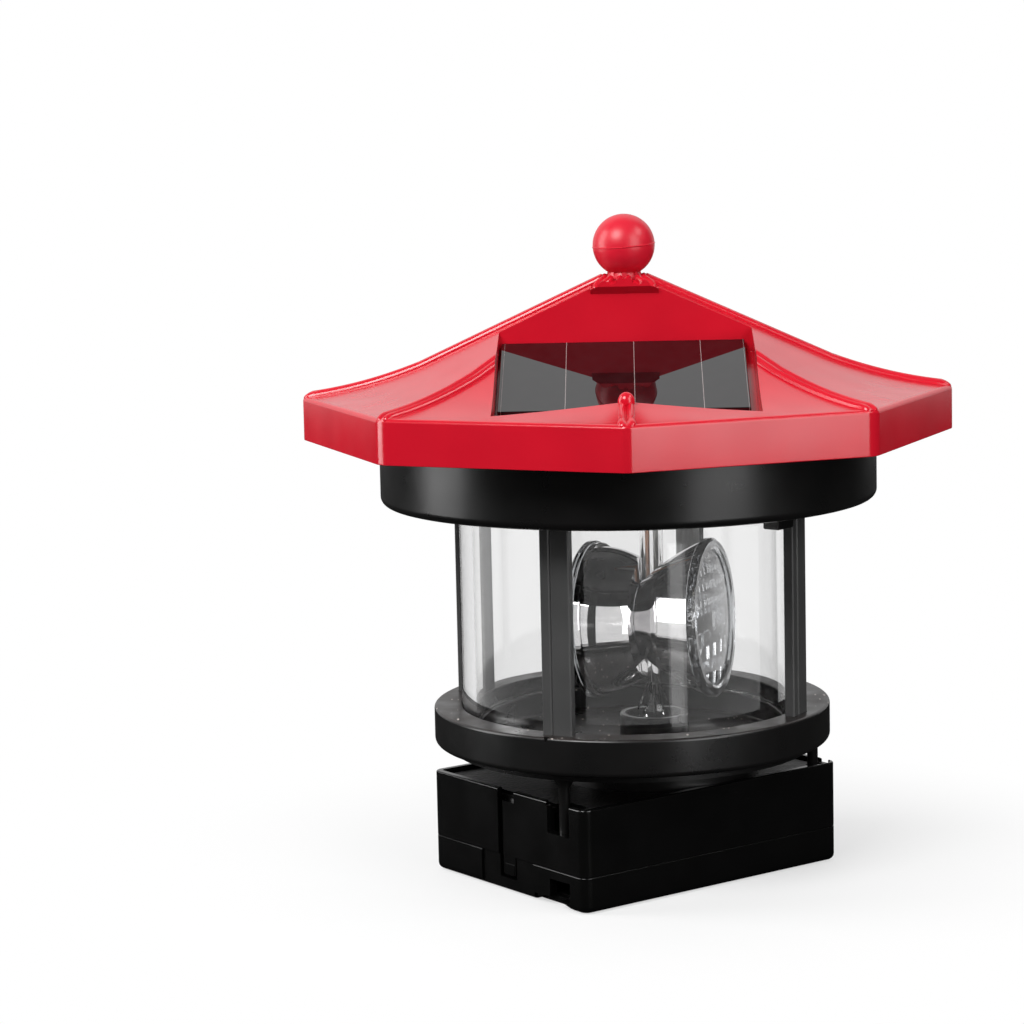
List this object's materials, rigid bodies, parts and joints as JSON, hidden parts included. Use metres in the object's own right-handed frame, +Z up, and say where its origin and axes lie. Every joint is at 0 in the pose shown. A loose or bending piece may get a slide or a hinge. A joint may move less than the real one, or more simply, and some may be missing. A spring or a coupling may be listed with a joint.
{
  "type": "solar lighthouse lamp head",
  "caption": "Solar lighthouse lamp head: octagonal roof with a sloping panel, clear lantern room with a geared turning beacon, and a base box with a sliding battery door.",
  "frame": {"origin": "on the lantern's vertical axis, at the underside of the base box", "axes": "+Z up; the solar panel faces -Y; the octagonal roof has a corner on each of +X, -X, +Y and -Y"},
  "size_m": [0.095, 0.095, 0.0962],
  "materials": {
    "roof_red": "glossy red ABS moulding",
    "circuit_board": "green solder mask on glass-fibre board",
    "solar_cells": "dark silicon under clear resin",
    "steel_screws": "zinc-plated steel",
    "black_plastic": "satin black ABS",
    "box_plastic": "satin black ABS with a textured top",
    "clear_plastic": "polished clear polystyrene",
    "lamp_resin": "clear epoxy",
    "wire_cover": "soft vinyl wire cover",
    "pale_lead": "flat grey vinyl lead",
    "chromed_plastic": "vacuum-metallised plastic",
    "gear_plastic": "natural acetal",
    "brass": "turned brass",
    "motor_steel": "plated steel",
    "contact_steel": "nickel-plated spring steel",
    "cell_sleeve": "heat-shrunk sleeve",
    "board_parts": "moulded components"
  },
  "bodies": {
    "lantern": {"roof_shell": "roof_red", "finial_ball": "roof_red", "panel_board": "circuit_board", "panel_face": "solar_cells", "roof_screws": "steel_screws", "upper_ring": "black_plastic", "clear_cylinder": "clear_plastic", "post_front": "black_plastic", "post_right": "black_plastic", "post_rear": "black_plastic", "post_left": "black_plastic", "base_flange": "black_plastic", "stem_tube": "clear_plastic", "lamp_led": "lamp_resin", "led_leads": "wire_cover", "ribbon_lead": "pale_lead", "solar_leads": "wire_cover", "gear_pins": "steel_screws", "gearbox_cup": "black_plastic", "motor_can": "motor_steel", "battery_case": "box_plastic", "base_tray": "box_plastic", "battery_cell": "cell_sleeve", "contact_spring": "contact_steel", "contact_tab": "contact_steel", "circuit_board": "circuit_board", "board_parts": "board_parts", "switch_body": "motor_steel", "case_screws": "steel_screws", "motor_leads": "wire_cover", "battery_leads": "wire_cover"},
    "turning_beacon": {"front_reflector": "chromed_plastic", "rear_reflector": "chromed_plastic", "front_lens": "clear_plastic", "rear_lens": "clear_plastic", "drive_spigot": "clear_plastic", "drive_cup": "black_plastic", "output_gear": "gear_plastic"},
    "second_idler_gear": {"second_idler": "gear_plastic"},
    "first_idler_gear": {"first_idler": "gear_plastic"},
    "motor_rotor": {"motor_pinion": "brass"},
    "door": {"battery_door": "box_plastic"},
    "switch_knob": {"switch_slider": "black_plastic"}
  },
  "joints": [
    {"name": "beacon_spin", "type": "hinge", "parent": "lantern", "child": "turning_beacon", "pos_m": [0.0033, 0, 0.03], "axis": [0, 0, 1], "continuous": true},
    {"name": "second_idler_spin", "type": "hinge", "parent": "lantern", "child": "second_idler_gear", "pos_m": [0.01037, -0.00149, 0.016], "axis": [0, 0, 1], "continuous": true},
    {"name": "first_idler_spin", "type": "hinge", "parent": "lantern", "child": "first_idler_gear", "pos_m": [0.00555, -0.00687, 0.0145], "axis": [0, 0, 1], "continuous": true},
    {"name": "motor_spin", "type": "hinge", "parent": "lantern", "child": "motor_rotor", "pos_m": [-0.00133, -0.00912, 0.012], "axis": [0, 0, 1], "continuous": true},
    {"name": "door_slide", "type": "slide", "parent": "lantern", "child": "door", "axis": [-0.7793, -0.6266, 0], "range_m": [0, 0.034]},
    {"name": "switch_slide", "type": "slide", "parent": "lantern", "child": "switch_knob", "axis": [0.7793, 0.6266, 0], "range_m": [0, 0.002]}
  ],
  "couplings": [
    {"joint": "second_idler_spin", "follows": "beacon_spin", "ratio": -3.5},
    {"joint": "first_idler_spin", "follows": "beacon_spin", "ratio": 12.25},
    {"joint": "motor_spin", "follows": "beacon_spin", "ratio": -42.875}
  ]
}
